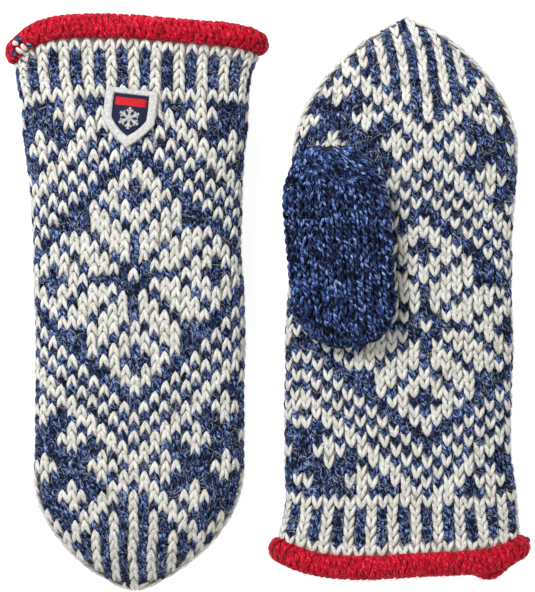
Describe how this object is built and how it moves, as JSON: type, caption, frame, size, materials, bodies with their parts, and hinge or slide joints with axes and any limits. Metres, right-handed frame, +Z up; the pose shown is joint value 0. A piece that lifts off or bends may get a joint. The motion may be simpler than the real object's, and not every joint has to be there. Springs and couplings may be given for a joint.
{
  "type": "knitted mittens",
  "caption": "Pair of lined knitted colourwork mittens with rolled cuffs, lying flat side by side, one palm down and one palm up.",
  "frame": {"origin": "on the surface the pair lies on, under the middle of the pair's box", "axes": "+Z up, +Y along the mittens towards the fingertips of the palm-up mitten, +X from the palm-down mitten to the palm-up one"},
  "size_m": [0.247, 0.2718, 0.0424],
  "materials": {
    "white_wool": "knitted wool, matte",
    "blue_marl_wool": "knitted marl wool, matte",
    "red_wool": "knitted wool, matte",
    "fleece_lining": "brushed fleece, matte",
    "badge_white": "woven, slight sheen",
    "badge_navy": "woven, slight sheen",
    "seam_thread": "sewing thread"
  },
  "bodies": {
    "left_mitten": {"left_hand_knit": "white_wool", "left_hand_lining": "fleece_lining", "left_cuff_roll": "red_wool", "left_cuff_join_yarn": "blue_marl_wool", "left_lining_seam_thread": "seam_thread", "left_tip_gather_yarn": "white_wool", "left_thumb_linking_yarn": "blue_marl_wool", "left_badge_border": "badge_white", "left_badge_field": "badge_navy", "left_badge_emblem": "badge_white", "left_badge_stitching": "seam_thread"},
    "left_thumb": {"left_thumb_knit": "blue_marl_wool", "left_thumb_lining": "fleece_lining", "left_thumb_gather_yarn": "blue_marl_wool"},
    "right_mitten": {"right_hand_knit": "white_wool", "right_hand_lining": "fleece_lining", "right_cuff_roll": "red_wool", "right_cuff_join_yarn": "blue_marl_wool", "right_lining_seam_thread": "seam_thread", "right_tip_gather_yarn": "white_wool", "right_thumb_linking_yarn": "blue_marl_wool", "right_badge_border": "badge_white", "right_badge_field": "badge_navy", "right_badge_emblem": "badge_white", "right_badge_stitching": "seam_thread"},
    "right_thumb": {"right_thumb_knit": "blue_marl_wool", "right_thumb_lining": "fleece_lining", "right_thumb_gather_yarn": "blue_marl_wool"}
  },
  "joints": [
    {"name": "right_mitten_lift", "type": "slide", "parent": "left_mitten", "child": "right_mitten", "axis": [0, 0, 1], "range_m": [0, 0.12]},
    {"name": "left_thumb_hinge", "type": "hinge", "parent": "left_mitten", "child": "left_thumb", "pos_m": [0.03535, -0.02081, 0.0272], "axis": [1, 0, 0], "range_deg": [0, 70]},
    {"name": "right_thumb_hinge", "type": "hinge", "parent": "right_mitten", "child": "right_thumb", "pos_m": [-0.04335, 0.0244, 0], "axis": [1, 0, 0], "range_deg": [0, 60]}
  ],
  "couplings": [
    {"joint": "right_thumb_hinge", "follows": "right_mitten_lift", "rad_per_m": 8.72}
  ]
}
